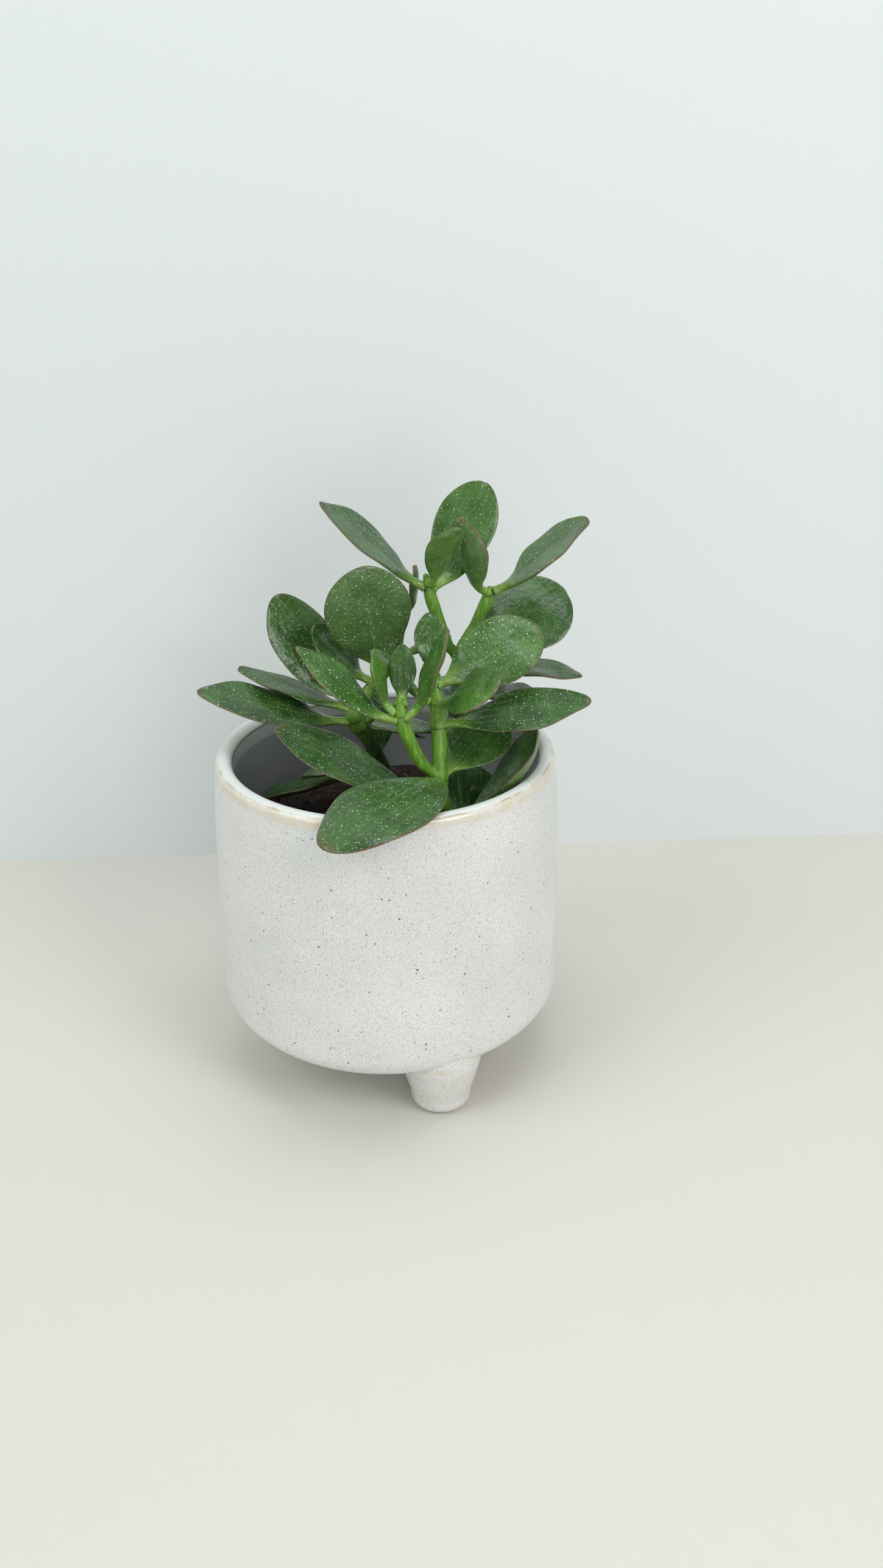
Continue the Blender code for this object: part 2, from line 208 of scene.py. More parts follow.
outside = np.vstack([
    [[0, foot_height]], [[0.02, foot_height]], [[0.04, foot_height]],
    arc(belly - corner, foot_height + corner, corner, -90, 0, 14),
    through((belly - 0.0002, 0.057), (0.0727, 0.091), (0.0710, 0.127), (0.0702, 0.134)),
    arc(lip_outer - lip_round, height - lip_round, lip_round, 0, 90, 12)])
inside = np.vstack([
    arc(inner_top + lip_round, height - lip_round, lip_round, 100, 180, 12),
    through((inner_top + 0.0004, 0.130), (0.0645, 0.115), (0.0647, 0.091), (0.0649, 0.045)),
    arc(0.0562, inner_floor + inner_corner, inner_corner, 0, -90, 8), [[0, inner_floor]]])
pot = turned("glazed_pot", np.vstack([outside, inside]), axis)
foot_profile = np.vstack([
    [[0, 0]], [[0.0075, 0]], arc(0.0077, foot_edge, foot_edge, -85, 10, 10),
    through((0.0130, 0.008), (0.0155, 0.017), (0.0171, 0.0245), (0.0171, 0.0320)), [[0, 0.0322]]])
for turn in foot_bearings:
    a = math.radians(turn)
    where = (axis.x + foot_axis * math.sin(a), axis.y - foot_axis * math.cos(a))
    foot = turned("foot", foot_profile, where, 72)
    join = pot.modifiers.new("join", "BOOLEAN")
    join.object = foot
    join.operation = "UNION"
    evaluated = pot.evaluated_get(bpy.context.evaluated_depsgraph_get())
    joined = bpy.data.meshes.new_from_object(evaluated)
    pot.modifiers.clear()
    pot.data = joined
    bpy.data.objects.remove(foot, do_unlink=True)
pot.data.shade_smooth()
pot.data.set_sharp_from_angle(angle=math.radians(35))

# Off-white stoneware glaze, dipped and fired: satin, slightly uneven, with iron specks of
# up to 1 mm burnt through it, and a thicker glossier coat on the lip.
glaze, tree, shader = new_material("speckled_stoneware_glaze")
place = node(tree, "ShaderNodeTexCoord").outputs["Object"]
centred = node(tree, "ShaderNodeVectorMath", [(0, place)], operation="SUBTRACT")
centred.inputs[1].default_value = (axis.x, axis.y, 0)
flat = node(tree, "ShaderNodeVectorMath", [(0, centred.outputs[0])], operation="MULTIPLY")
flat.inputs[1].default_value = (1, 1, 0)
radius = node(tree, "ShaderNodeVectorMath", [(0, flat.outputs[0])],
              operation="LENGTH").outputs["Value"]
level = node(tree, "ShaderNodeSeparateXYZ", [(0, place)]).outputs["Z"]
depth = sums(tree, "SUBTRACT", height, level)
above_feet = sums(tree, "SUBTRACT", level, foot_height)
cloud = noise(tree, place, 26.0, 3.0)
mottle = noise(tree, place, 1400.0, 2.0)
colour = blend(tree, ramp(tree, cloud, 0.35, 0.7), linear("#d6d7d6"), linear("#e0dfde"))
colour = tint(tree, ramp(tree, mottle, 0.35, 0.75, 0.0, 0.55), colour, "#aeaaa7")


def specks(tree, place, cell, size, spare):
    """Round specks about one to a cell, each with a radius of size times a random share. The
    shares under spare give none."""
    cells = node(tree, "ShaderNodeTexVoronoi", [("Vector", place)], Scale=1 / cell)
    share = node(tree, "ShaderNodeSeparateColor", [(0, cells.outputs["Color"])]).outputs[0]
    reach = times(tree, sums(tree, "MAXIMUM", sums(tree, "SUBTRACT", share, spare), 0.0),
                 size / cell / (1 - spare))
    return sums(tree, "SUBTRACT", 1.0, ramp(tree, sums(tree, "DIVIDE", cells.outputs["Distance"],
                sums(tree, "ADD", reach, 0.0001)), 0.7, 1.1))


# Iron specks, small ones everywhere and darker ones further apart
colour = blend(tree, times(tree, specks(tree, place, 0.0016, 0.00032, 0.15), 0.75),
               colour, linear("#665e57"))
colour = blend(tree, times(tree, specks(tree, place, 0.0031, 0.00048, 0.35), 0.9),
               colour, linear("#332b26"))
wobble = noise(tree, place, 130.0, 4.0)
shifted = sums(tree, "ADD", radius, times(tree, sums(tree, "SUBTRACT", wobble, 0.5), 0.0016))
# Lip: clear glaze on top, a broken beige band on the outer shoulder and a brown thread in it
on_lip = ramp(tree, depth, 0.0055, 0.0030)
shoulder = times(tree, ramp(tree, shifted, 0.0679, 0.0687), ramp(tree, depth, 0.0068, 0.0028),
                 ramp(tree, wobble, 0.30, 0.62, 0.25, 1.0))
colour = tint(tree, times(tree, on_lip, ramp(tree, radius, 0.0692, 0.0684)), colour, "#d5d8d5")
colour = tint(tree, times(tree, shoulder, 0.75), colour, "#cfc4ac")
thread = times(tree, ramp(tree, shifted, 0.0683, 0.0687), ramp(tree, shifted, 0.0693, 0.0689))
thread = times(tree, thread, on_lip, ramp(tree, wobble, 0.42, 0.62))
colour = tint(tree, times(tree, thread, 0.45), colour, "#8a785c")
# Inside: a brown line where the glaze ends, a thin band below it, then bare grey clay
within = times(tree, ramp(tree, radius, 0.0660, 0.0655),
               ramp(tree, level, inner_floor, inner_floor + 0.0005))
edge_line = times(tree, ramp(tree, depth, 0.0042, 0.0034), ramp(tree, depth, 0.0022, 0.0030),
                  ramp(tree, radius, 0.0648, 0.0640), 0.8)
colour = tint(tree, edge_line, colour, "#7f7264")
band = times(tree, within, ramp(tree, depth, 0.0032, 0.0040))
colour = tint(tree, band, colour, "#c2c6c5")
uneven_depth = sums(tree, "SUBTRACT", depth, times(tree, wobble, 0.0012))
bare = times(tree, within, ramp(tree, uneven_depth, 0.0086, 0.0094))
colour = tint(tree, bare, colour, "#a3a5a8")
# Low edge and feet: the glaze ran thin and lets the tan clay through
low_edge = times(tree, ramp(tree, above_feet, 0.0065, 0.0025),
                 ramp(tree, above_feet, -0.0004, 0.0004))
thin = times(tree, low_edge, ramp(tree, cloud, 0.52, 0.60))
colour = tint(tree, times(tree, thin, 0.75), colour, "#c6b797")
on_feet = ramp(tree, above_feet, 0.0, -0.002)
runs = node(tree, "ShaderNodeMapping", [("Vector", place)])
runs.inputs["Scale"].default_value = (1, 1, 0.08)
drip = noise(tree, runs.outputs[0], 520.0, 2.0)
colour = tint(tree, times(tree, on_feet, ramp(tree, drip, 0.4, 0.7, 0.15, 0.55)), colour, "#c6c0b4")
tree.links.new(colour, shader.inputs["Base Color"])
gloss = sums(tree, "ADD", ramp(tree, bare, 0.0, 1.0, 0.40, 0.85), times(tree, on_lip, -0.26))
tree.links.new(sums(tree, "MAXIMUM", gloss, 0.12), shader.inputs["Roughness"])
skin = noise(tree, place, 520.0, 3.0)
relief = bump(tree, skin, 0.12, 0.0003)
tree.links.new(relief, shader.inputs["Normal"])
pot.data.materials.clear()
pot.data.materials.append(glaze)
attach(pot, "root")
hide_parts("pot")


# ---------------------------------------------------------------- soil
# Dark peaty potting soil: a lumpy bed pressed round the stems, loose crumbs on top, and dry
# reddish root and coir fibres lying among them.

soil_low, soil_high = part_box("soil")
rng = np.random.default_rng(7)


def waves(x, y, seed, count=24, finest=0.006):
    """A smooth random height: sines in random directions, longer ones higher."""
    chance = np.random.default_rng(seed)
    total = 0 * x
    for length in np.geomspace(0.05, finest, count):
        turn, phase = chance.uniform(0, 2 * np.pi, 2)
        along = x * np.cos(turn) + y * np.sin(turn)
        total = total + length * np.sin(along * 2 * np.pi / length + phase)
    return total / (0.05 * count ** 0.5)


soil_edge = (soil_high.x - soil_low.x) / 2 - 0.0008
soil_rise, soil_sink, soil_lumps = 0.0024, 0.0006, 0.0011


def soil_height(x, y):
    """The height of the soil bed's top at a place: a low mound that falls with the square of the
    distance from the axis, with lumps."""
    share = np.hypot(x - axis.x, y - axis.y) / soil_edge
    return soil_high.z - soil_rise * share ** 2 - soil_sink + soil_lumps * waves(x, y, 3)


shares = np.linspace(0.02, 1, 60)
a = np.linspace(0, 2 * np.pi, 180, endpoint=False)
x = axis.x + soil_edge * shares[:, None] * np.cos(a)
y = axis.y + soil_edge * shares[:, None] * np.sin(a)
rows = np.stack([x, y, np.minimum(soil_height(x, y), soil_high.z + 0.001)], -1)
sides = []
for r, z in ((soil_edge + 0.0002, 0.090), (soil_edge, 0.046), (0.0550, 0.0338), (0.0100, 0.0336)):
    sides.append(np.stack([axis.x + r * np.cos(a), axis.y + r * np.sin(a), z + 0 * a], -1))
soil = closed_surface("soil_bed", np.concatenate([rows, np.array(sides)]))


def many(name, unit, faces, count, place_each):
    """One mesh of many copies of a small shape: place_each gives each copy's points from those of
    the unit."""
    points = place_each(unit)
    offsets = np.arange(count)[:, None, None] * len(unit)
    mesh = bpy.data.meshes.new(name)
    all_faces = (np.array(faces) + offsets).reshape(-1, len(faces[0]))
    mesh.from_pydata(points.reshape(-1, 3).tolist(), [], all_faces.tolist())
    mesh.shade_smooth()
    piece = bpy.data.objects.new(name, mesh)
    bpy.context.scene.collection.objects.link(piece)
    return piece


lump = bmesh.new()
bmesh.ops.create_icosphere(lump, subdivisions=1, radius=1)
lump_points = np.array([v.co for v in lump.verts])
lump_faces = [[v.index for v in f.verts] for f in lump.faces]
lump.free()
crumbs = 900


def lie_on_soil(unit):
    """Crumbs of 0.6 to 2.6 mm, squashed and bent at random, half sunk in the bed."""
    r = soil_edge * 0.97 * np.sqrt(rng.uniform(0, 1, crumbs))
    turn = rng.uniform(0, 2 * np.pi, crumbs)
    x, y = axis.x + r * np.cos(turn), axis.y + r * np.sin(turn)
    size = 0.0003 + 0.0011 * rng.uniform(0, 1, crumbs) ** 3
    stretch = rng.uniform(0.55, 1.3, (crumbs, 1, 3))
    shape = unit * stretch + rng.normal(0, 0.12, (crumbs, len(unit), 3))
    centre = np.stack([x, y, soil_height(x, y) + 0.3 * size], 1)
    return centre[:, None] + shape * size[:, None, None]


crumb_heap = many("soil_crumbs", lump_points, lump_faces, crumbs, lie_on_soil)

strands, steps, sides_round = 150, 14, 5
ring = np.arange(sides_round) * 2 * np.pi / sides_round
strand_unit = np.zeros((steps * sides_round, 3))
strand_faces = [[k * sides_round + i, k * sides_round + (i + 1) % sides_round,
                 (k + 1) * sides_round + (i + 1) % sides_round, (k + 1) * sides_round + i]
                for k in range(steps - 1) for i in range(sides_round)]


def lie_as_fibres(unit):
    """Fibres 6 to 22 mm long and up to 0.6 mm thick that wander, arch a little and taper at both
    ends."""
    t = np.linspace(0, 1, steps)
    long = rng.uniform(0.006, 0.022, (strands, 1))
    turn = rng.uniform(0, 2 * np.pi, (strands, 1))
    turn = turn + np.cumsum(rng.normal(0, 0.35, (strands, steps)), 1)
    r = soil_edge * 0.85 * np.sqrt(rng.uniform(0, 1, (strands, 1)))
    spin = rng.uniform(0, 2 * np.pi, (strands, 1))
    x = axis.x + r * np.cos(spin) + np.cumsum(np.cos(turn), 1) * long / steps
    y = axis.y + r * np.sin(spin) + np.cumsum(np.sin(turn), 1) * long / steps
    keep = np.minimum(1, soil_edge * 0.96 / np.hypot(x - axis.x, y - axis.y))
    x, y = axis.x + (x - axis.x) * keep, axis.y + (y - axis.y) * keep
    z = soil_height(x, y) + 0.0002 + rng.uniform(0.0, 0.0035, (strands, 1)) * np.sin(np.pi * t)
    thick = rng.uniform(0.00008, 0.00024, (strands, 1)) * (0.35 + np.sin(np.pi * t) ** 0.5)
    line = np.stack([x, y, z], -1)
    along = np.gradient(line, axis=1)
    along /= np.linalg.norm(along, axis=2, keepdims=True)
    side = np.cross(along, [0, 0, 1.0])
    side /= np.linalg.norm(side, axis=2, keepdims=True) + 1e-9
    up = np.cross(side, along)
    circle = side[:, :, None] * np.cos(ring)[:, None] + up[:, :, None] * np.sin(ring)[:, None]
    return (line[:, :, None] + circle * thick[:, :, None, None]).reshape(strands, -1, 3)


fibres = many("root_fibres", strand_unit, strand_faces, strands, lie_as_fibres)
caps = bmesh.new()
caps.from_mesh(fibres.data)
bmesh.ops.holes_fill(caps, edges=[e for e in caps.edges if e.is_boundary])
bmesh.ops.recalc_face_normals(caps, faces=caps.faces)
caps.to_mesh(fibres.data)
caps.free()

# Moist peat: near black with brown grains, rough all over
peat, tree, shader = new_material("moist_peat")
place = node(tree, "ShaderNodeTexCoord").outputs["Object"]
grain = noise(tree, place, 900.0, 6.0, 0.7)
patch = noise(tree, place, 160.0, 3.0)
colour = blend(tree, ramp(tree, grain, 0.40, 0.72), linear("#1a1513"), linear("#54443c"))
colour = tint(tree, ramp(tree, patch, 0.5, 0.8, 0.0, 0.5), colour, "#2b2422")
tree.links.new(colour, shader.inputs["Base Color"])
shader.inputs["Roughness"].default_value = 0.9
relief = bump(tree, grain, 0.9, 0.0008)
tree.links.new(relief, shader.inputs["Normal"])

# Dry root and coir fibre: thin reddish-brown strands, dull
coir, tree, shader = new_material("dry_root_fibre")
place = node(tree, "ShaderNodeTexCoord").outputs["Object"]
change = noise(tree, place, 210.0, 1.0)
colour = blend(tree, ramp(tree, change, 0.38, 0.66), linear("#3c231b"), linear("#8d5f4d"))
tree.links.new(colour, shader.inputs["Base Color"])
shader.inputs["Roughness"].default_value = 0.75

for piece, finish in ((soil, peat), (crumb_heap, peat), (fibres, coir)):
    piece.data.materials.append(finish)
    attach(piece, "root")
    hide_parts("soil")


# ---------------------------------------------------------------- stems
# Three fleshy stems stand in the soil and fork. The growth of the year is bright green and
# the older wood below is darker. A ring scar marks each place where a pair of leaves grew.

def rings_of(name):
    """The eight-cornered rings that a grown CAD piece is lofted through, base first, and its point.
    The point is the corner from which every step along the edges reaches exactly eight more."""
    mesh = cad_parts[name].data
    places = np.empty(len(mesh.vertices) * 3)
    mesh.vertices.foreach_get("co", places)
    corners, which = np.unique(np.round(places.reshape(-1, 3), 7), axis=0, return_inverse=True)
    loops = np.empty(len(mesh.loops), int)
    mesh.loops.foreach_get("vertex_index", loops)
    tris = which.reshape(-1)[loops].reshape(-1, 3)
    near = np.zeros((len(corners),) * 2, bool)
    for i, j in ((0, 1), (1, 2), (2, 0)):
        near[tris[:, i], tris[:, j]] = near[tris[:, j], tris[:, i]] = True
    for start in np.flatnonzero(near.sum(0) == 8):
        step = np.full(len(corners), -1)
        step[start] = 0
        for k in range(len(corners) // 8):
            step[near[step == k].any(0) & (step < 0)] = k + 1
        if (np.bincount(step + 1)[2:] == 8).all() and (step >= 0).all():
            break
    return np.array([corners[step == k] for k in range(step.max(), 0, -1)]), corners[start]


def unit(vectors):
    """The vectors at a length of one."""
    return vectors / (np.linalg.norm(vectors, axis=-1, keepdims=True) + 1e-12)


def keep_attribute(piece, name, values):
    """Stores one number for each point of the piece, for its material to read."""
    made = piece.data.attributes.new(name, "FLOAT", "POINT")
    made.data.foreach_set("value", np.asarray(values, np.float32).ravel())


stem_names = [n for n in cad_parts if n.startswith(("stem_", "branch_"))]
leaf_names = [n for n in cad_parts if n.startswith("leaf_")]
leaf_rings = {n: rings_of(n) for n in leaf_names}
leaf_bases = np.array([rings[0].mean(0) for rings, point in leaf_rings.values()])

# Living stem skin: smooth and waxy, lime green with pale dots and faint lengthwise streaks,
# dark olive where it is old
bark, tree, shader = new_material("green_stem_skin")
place = node(tree, "ShaderNodeTexCoord").outputs["Object"]
age = node(tree, "ShaderNodeAttribute", attribute_name="age").outputs["Fac"]
scar = node(tree, "ShaderNodeAttribute", attribute_name="scar").outputs["Fac"]
stretched = node(tree, "ShaderNodeMapping", [("Vector", place)])
stretched.inputs["Scale"].default_value = (1, 1, 0.12)
streak = noise(tree, stretched.outputs[0], 900.0, 3.0)
patch = noise(tree, place, 120.0, 3.0)
bright = blend(tree, ramp(tree, streak, 0.35, 0.7), linear("#4f7d1c"), linear("#6f9c2e"))
old = blend(tree, ramp(tree, streak, 0.35, 0.7), linear("#2c4a1e"), linear("#4a6436"))
aged = sums(tree, "ADD", age, times(tree, sums(tree, "SUBTRACT", patch, 0.5), 0.5))
colour = blend(tree, ramp(tree, aged, 0.35, 0.75), bright, old)
colour = tint(tree, times(tree, specks(tree, place, 0.0017, 0.00026, 0.2), 0.65), colour, "#c3cf9c")
colour = tint(tree, times(tree, scar, 0.75), colour, "#33411d")
tree.links.new(colour, shader.inputs["Base Color"])
shader.inputs["Roughness"].default_value = 0.42
shader.inputs["Coat Weight"].default_value = 0.15
shader.inputs["Coat Roughness"].default_value = 0.25
relief = bump(tree, streak, 0.25, 0.0003)
tree.links.new(relief, shader.inputs["Normal"])

# Heights between which a stem goes from old wood to fresh green
WOOD_TO_GREEN = {"stem_front": (0.110, 0.136), "stem_left": (0.110, 0.190),
                 "stem_back": (0.150, 0.195)}
# A branch runs back into its stem, and a leaf within leaf_reach of a stem leaves a ring scar:
# a swelling with a groove under it. Leaves closer than pair_gap along a stem share one scar.
branch_root, leaf_reach, pair_gap = 0.0028, 0.0065, 0.004
swell_height, swell_width = 0.00035, 0.0022
groove_depth, groove_width, groove_below = 0.00022, 0.00028, 0.0018
stem_step, stem_around, cap_rows = 0.0006, 32, 6

for name in stem_names:
    rings, point = rings_of(name)
    middles = rings.mean(1)
    radii = np.linalg.norm(rings - middles[:, None], axis=2).mean(1)
    if name.startswith("branch_"):
        back = unit(middles[0] - middles[1]) * branch_root
        middles = np.vstack([middles[0] + back, middles])
        radii = np.concatenate([[radii[0] * 1.25], radii])
    known = np.concatenate([[0], np.cumsum(np.linalg.norm(np.diff(middles, axis=0), axis=1))])
    t = np.linspace(0, known[-1], int(known[-1] / stem_step))
    line = flow(known, middles, t)
    r = flow(known, radii, t)[:, 0]
    gaps = np.linalg.norm(leaf_bases[:, None] - line[None], axis=2)
    met = np.flatnonzero(gaps.min(1) < leaf_reach)
    heights = np.sort(t[gaps.argmin(1)[met]])
    apart = np.flatnonzero(np.diff(heights) > pair_gap) + 1
    groups = [g.mean() for g in np.split(heights, apart) if len(g)]
    mark = np.zeros_like(t)
    for at in groups:
        r = r + swell_height * np.exp(-((t - at) / swell_width) ** 2)
        mark = np.maximum(mark, np.exp(-((t - at + groove_below) / groove_width) ** 2))
    r = r - groove_depth * mark
    along = unit(np.gradient(line, axis=0))
    side = unit(np.cross(along, [0.3, 0.9, 0.1]))
    up = np.cross(side, along)
    a = np.linspace(0, 2 * np.pi, stem_around, endpoint=False)
    ripple = 1 + 0.012 * np.sin(3 * a + 40 * t[:, None]) + 0.006 * np.sin(7 * a - 90 * t[:, None])
    outward = side[:, None] * np.cos(a)[:, None] + up[:, None] * np.sin(a)[:, None]
    rows = line[:, None] + r[:, None, None] * ripple[..., None] * outward
    dome = np.linspace(0.25, 1.5, cap_rows)[:, None, None]
    cap = line[-1] + along[-1] * r[-1] * np.sin(dome) + (rows[-1] - line[-1]) * np.cos(dome)
    rows = np.concatenate([rows, cap])
    stem = closed_surface("grown_" + name, rows)
    z = np.append(rows[..., 2].ravel(), [rows[0, 0, 2], rows[-1, 0, 2]])
    old_below, young_above = WOOD_TO_GREEN.get(name, (0.05, 0.12))
    keep_attribute(stem, "age", 1 - np.clip((z - old_below) / (young_above - old_below), 0, 1))
    marks = np.concatenate([np.repeat(np.append(mark, np.zeros(cap_rows)), stem_around), [0, 0]])
    keep_attribute(stem, "scar", marks)
    stem.data.materials.append(bark)
    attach(stem, "root")
    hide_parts(name)


# ---------------------------------------------------------------- leaves
# Thick water-filled leaves in opposite pairs, each a shallow lens on a short stalk that clasps
# the stem. The skin is waxy with pale pores, the edge is thin and turns red in strong light.

# bright: 0 old dark green to 1 fresh green; pores: how many pale dots; red: colour of the edge
LOOKS = {
    "leaf_back_left_first_west": (0.15, 0.6, 0.9), "leaf_back_left_first_east": (0.45, 0.7, 0.3),
    "leaf_back_left_second_front": (0.7, 0.3, 0.3), "leaf_back_right_first_west": (0.35, 0.5, 0.9),
    "leaf_back_right_first_east": (0.35, 0.8, 0.9), "leaf_back_fork_east": (0.3, 0.4, 0.2),
    "leaf_back_upper_east": (0.1, 0.5, 0.9), "leaf_front_right_upper_east": (0.6, 1.0, 0.6),
    "leaf_front_right_mid_front": (0.8, 0.5, 0.8), "leaf_front_right_lower_east": (0.2, 1.0, 0.7),
    "leaf_front_left_lower_west": (0.45, 1.0, 0.9), "leaf_front_left_lower_east": (0.75, 0.6, 1.0),
    "leaf_front_left_young_west": (0.8, 0.4, 0.3), "leaf_front_left_young_rear": (0.3, 0.4, 0.1),
    "leaf_front_right_mid_west": (0.4, 0.5, 0.2), "leaf_front_right_upper_rear": (0.5, 0.5, 0.5),
    "leaf_left_upper_rear": (0.25, 1.0, 0.3), "leaf_left_upper_west": (0.25, 0.7, 0.3),
    "leaf_left_tip_east": (0.45, 0.4, 0.9), "leaf_front_fork_west": (0.25, 0.9, 0.7),
    "leaf_back_base_front": (0.0, 0.1, 0.2), "leaf_front_fork_east": (0.4, 0.6, 0.2),
    "leaf_front_base_east": (0.55, 0.8, 0.9), "leaf_front_base_west": (0.2, 0.8, 0.5),
    "leaf_left_base_west": (0.35, 0.8, 1.0), "leaf_left_node_west": (0.2, 0.8, 0.7),
}

# Living leaf skin under a coat of wax: mottled green with pale pores and fine wrinkles along it,
# lighter on the underside and the stalk, flushed red at the edge, with a soft sheen
leaf_skin, tree, shader = new_material("waxy_leaf_skin")
place = node(tree, "ShaderNodeTexCoord").outputs["Object"]
kept = {n: node(tree, "ShaderNodeAttribute", attribute_name=n).outputs["Fac"]
        for n in ("along", "across", "upper", "bright", "pores", "red", "lengthwise", "sideways")}
patch = noise(tree, place, 95.0, 4.0)
fine = noise(tree, place, 700.0, 3.0)
flat = node(tree, "ShaderNodeCombineXYZ", [("X", kept["sideways"]),
                                           ("Y", times(tree, kept["lengthwise"], 0.09))])
wrinkle = noise(tree, flat.outputs[0], 700.0, 3.0)
dark = blend(tree, ramp(tree, patch, 0.3, 0.7), linear("#1e3b18"), linear("#315628"))
fresh = blend(tree, ramp(tree, patch, 0.3, 0.7), linear("#3a6a1b"), linear("#54812b"))
colour = blend(tree, kept["bright"], dark, fresh)
colour = tint(tree, ramp(tree, fine, 0.35, 0.75, 0.0, 0.3), colour, "#182c12")
colour = tint(tree, ramp(tree, wrinkle, 0.45, 0.75, 0.0, 0.25), colour, "#6d8a52")
colour = tint(tree, times(tree, ramp(tree, kept["upper"], 0.55, 0.35), 0.35), colour, "#64834c")
stalk = ramp(tree, kept["along"], 0.24, 0.03)
colour = tint(tree, times(tree, stalk, 0.85), colour, "#749a3e")
rib = times(tree, ramp(tree, kept["across"], 0.05, 0.0), ramp(tree, kept["along"], 0.8, 0.4))
colour = tint(tree, times(tree, rib, 0.18), colour, "#93a878")
small = specks(tree, place, 0.00085, 0.00022, 0.1)
large = specks(tree, place, 0.0013, 0.00031, 0.1)
pore = times(tree, sums(tree, "MAXIMUM", times(tree, small, 0.7), large), kept["pores"])
colour = tint(tree, times(tree, pore, 0.9), colour, "#dbe4cf")
rim = ramp(tree, sums(tree, "ADD", kept["across"], times(tree, fine, 0.03)), 0.955, 0.99)
toward_tip = ramp(tree, kept["along"], 0.15, 0.95, 0.25, 1.0)
flush = times(tree, rim, toward_tip, kept["red"])
colour = tint(tree, times(tree, flush, 0.95), colour, "#74403a")
blush = times(tree, ramp(tree, kept["along"], 0.92, 1.0), kept["red"], 0.5)
colour = tint(tree, blush, colour, "#6b3530")
tree.links.new(colour, shader.inputs["Base Color"])
tree.links.new(ramp(tree, patch, 0.3, 0.7, 0.24, 0.38), shader.inputs["Roughness"])
shader.inputs["Specular IOR Level"].default_value = 0.36
shader.inputs["Coat Weight"].default_value = 0.24
shader.inputs["Coat Roughness"].default_value = 0.12
dimple = node(tree, "ShaderNodeTexVoronoi", [("Vector", place)], feature="SMOOTH_F1", Scale=560.0)
relief = bump(tree, dimple.outputs["Distance"], 0.55, 0.0005)
relief = bump(tree, wrinkle, 0.30, 0.0004, relief)
relief = bump(tree, patch, 0.35, 0.0012, relief)
tree.links.new(relief, shader.inputs["Normal"])

# Thickness at the stalk, in the blade and at the tip, with the shares of the length where the
# stalk ends and the tip starts
STALK_THICK, BLADE_THICK, TIP_THICK = 0.0034, 0.0030, 0.0017
STALK_END, TIP_START = 0.25, 0.7
# A cupped blade crosses its middle line's level at u^2 = CUP_LEVEL. In the CAD rings the edges
# stand CAD_CUP times the cup above the other corners.
CUP_LEVEL, CAD_CUP = 0.35, 0.744
MIDRIB_DEPTH, MIDRIB_WIDTH = 0.00028, 0.07
LEAF_AROUND = 44


